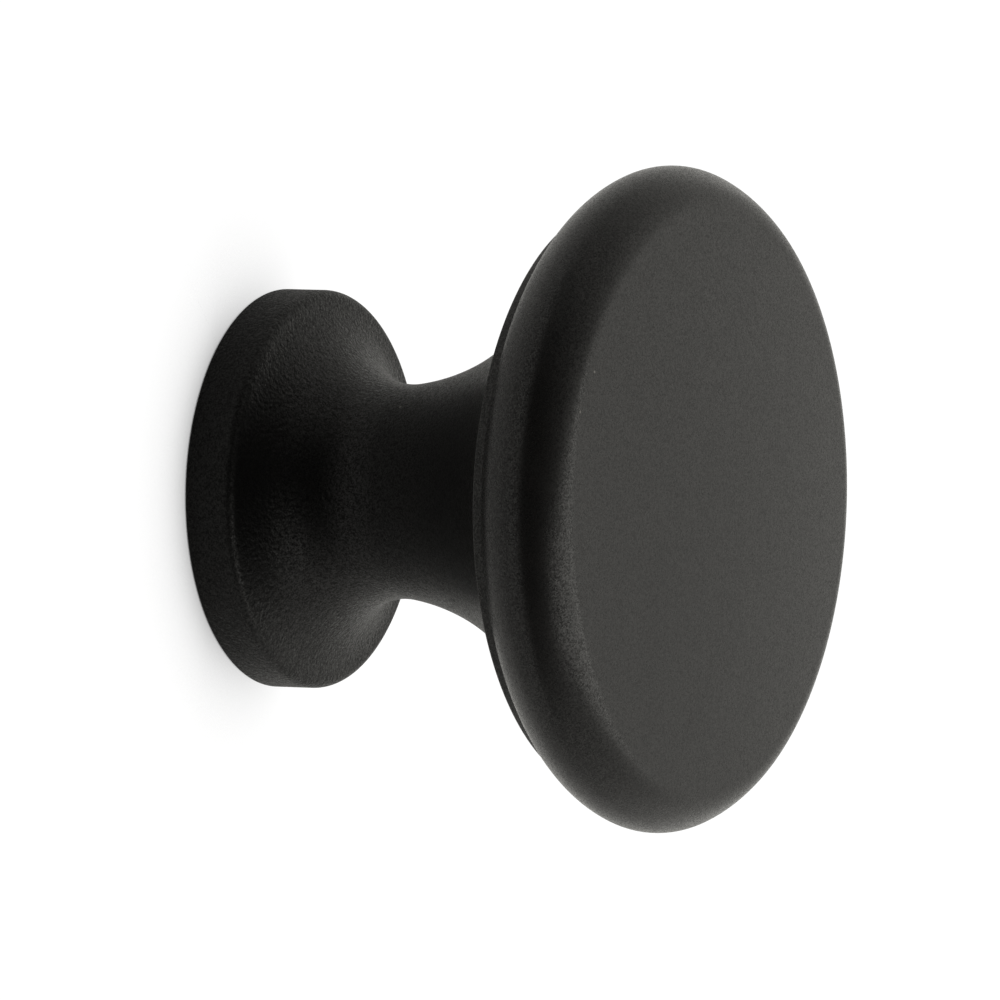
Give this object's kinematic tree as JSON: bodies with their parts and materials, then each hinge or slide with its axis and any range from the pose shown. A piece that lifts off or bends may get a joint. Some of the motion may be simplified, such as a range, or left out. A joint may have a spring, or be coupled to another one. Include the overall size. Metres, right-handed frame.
{
  "type": "cabinet knob",
  "caption": "Round mushroom knob with a rounded rim, a waisted neck and a disc foot, screwed through a cabinet door or drawer front to pull it open.",
  "frame": {"origin": "centre of the mounting face, where the knob meets the door", "axes": "+Z along the knob's axis, out of the door towards the head; the knob is round, so X and Y are free"},
  "size_m": [0.032, 0.032, 0.0241],
  "materials": {
    "powder_coat": "matte"
  },
  "bodies": {
    "root": {"knob": "powder_coat"}
  },
  "joints": []
}
